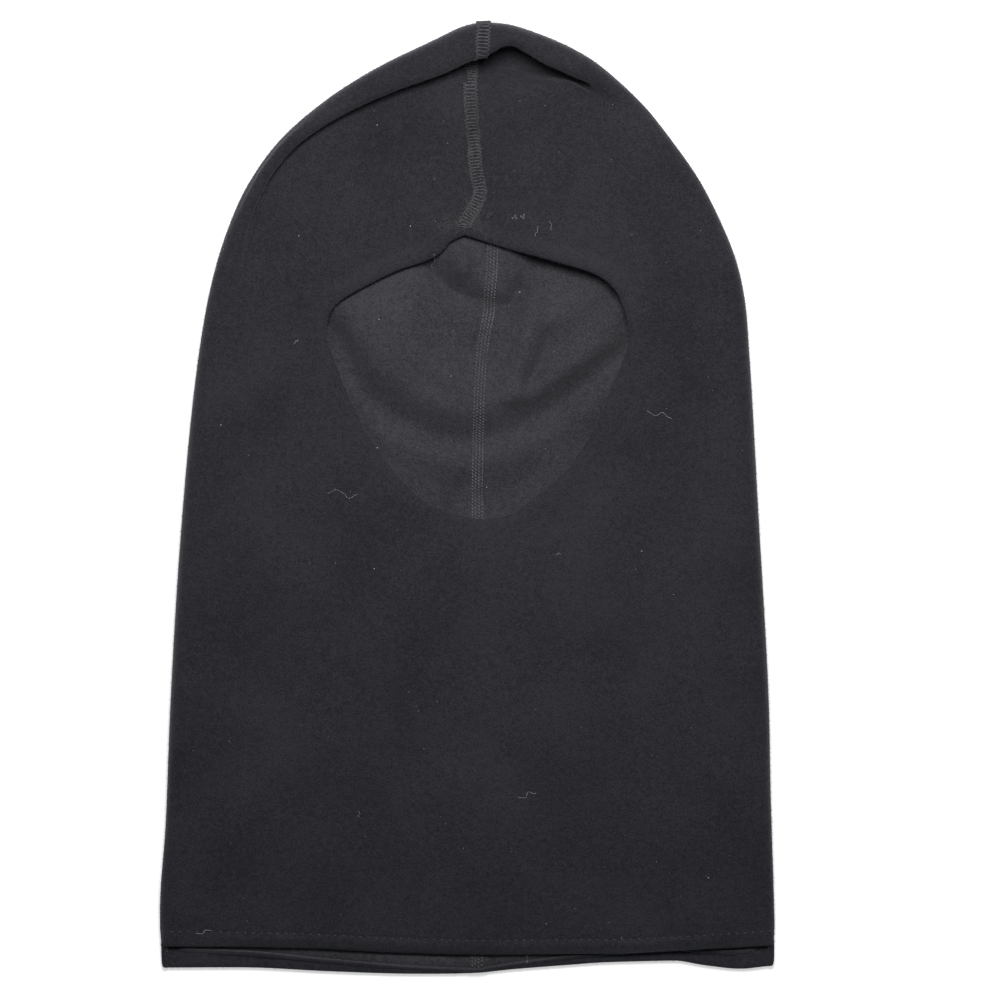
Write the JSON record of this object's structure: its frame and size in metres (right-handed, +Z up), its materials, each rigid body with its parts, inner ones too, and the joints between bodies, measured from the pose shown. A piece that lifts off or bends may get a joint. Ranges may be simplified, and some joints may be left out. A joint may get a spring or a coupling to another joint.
{
  "type": "balaclava",
  "caption": "Fleece balaclava with an oval face opening, turned hems and a flatlock seam over the crown, laid flat with the face side up.",
  "frame": {"origin": "under the middle of the outline, on the surface that the balaclava lies on", "axes": "+Y from the neck hem to the crown, +X to the wearer's left, +Z up, out of the face side"},
  "size_m": [0.264, 0.4089, 0.024],
  "materials": {
    "fleece": "short brushed pile, charcoal black",
    "fleece_inside": "short brushed pile, slightly lighter",
    "seam_thread": "textured thread, dark grey",
    "hem_thread": "textured thread, dark grey"
  },
  "bodies": {
    "root": {"front_panel": "fleece", "back_right": "fleece", "back_left": "fleece", "side_fold_right": "fleece", "side_fold_left": "fleece", "crown_right": "fleece", "crown_left": "fleece", "face_hem": "fleece_inside", "bottom_hem": "fleece_inside", "seam_cover_thread": "seam_thread", "seam_looper_thread": "seam_thread", "seam_needle_thread_1": "seam_thread", "seam_needle_thread_2": "seam_thread", "seam_needle_thread_3": "seam_thread", "seam_needle_thread_4": "seam_thread", "face_hem_needle_thread": "hem_thread", "face_hem_looper_thread": "hem_thread", "bottom_hem_needle_thread": "hem_thread", "bottom_hem_looper_thread": "hem_thread"}
  },
  "joints": []
}
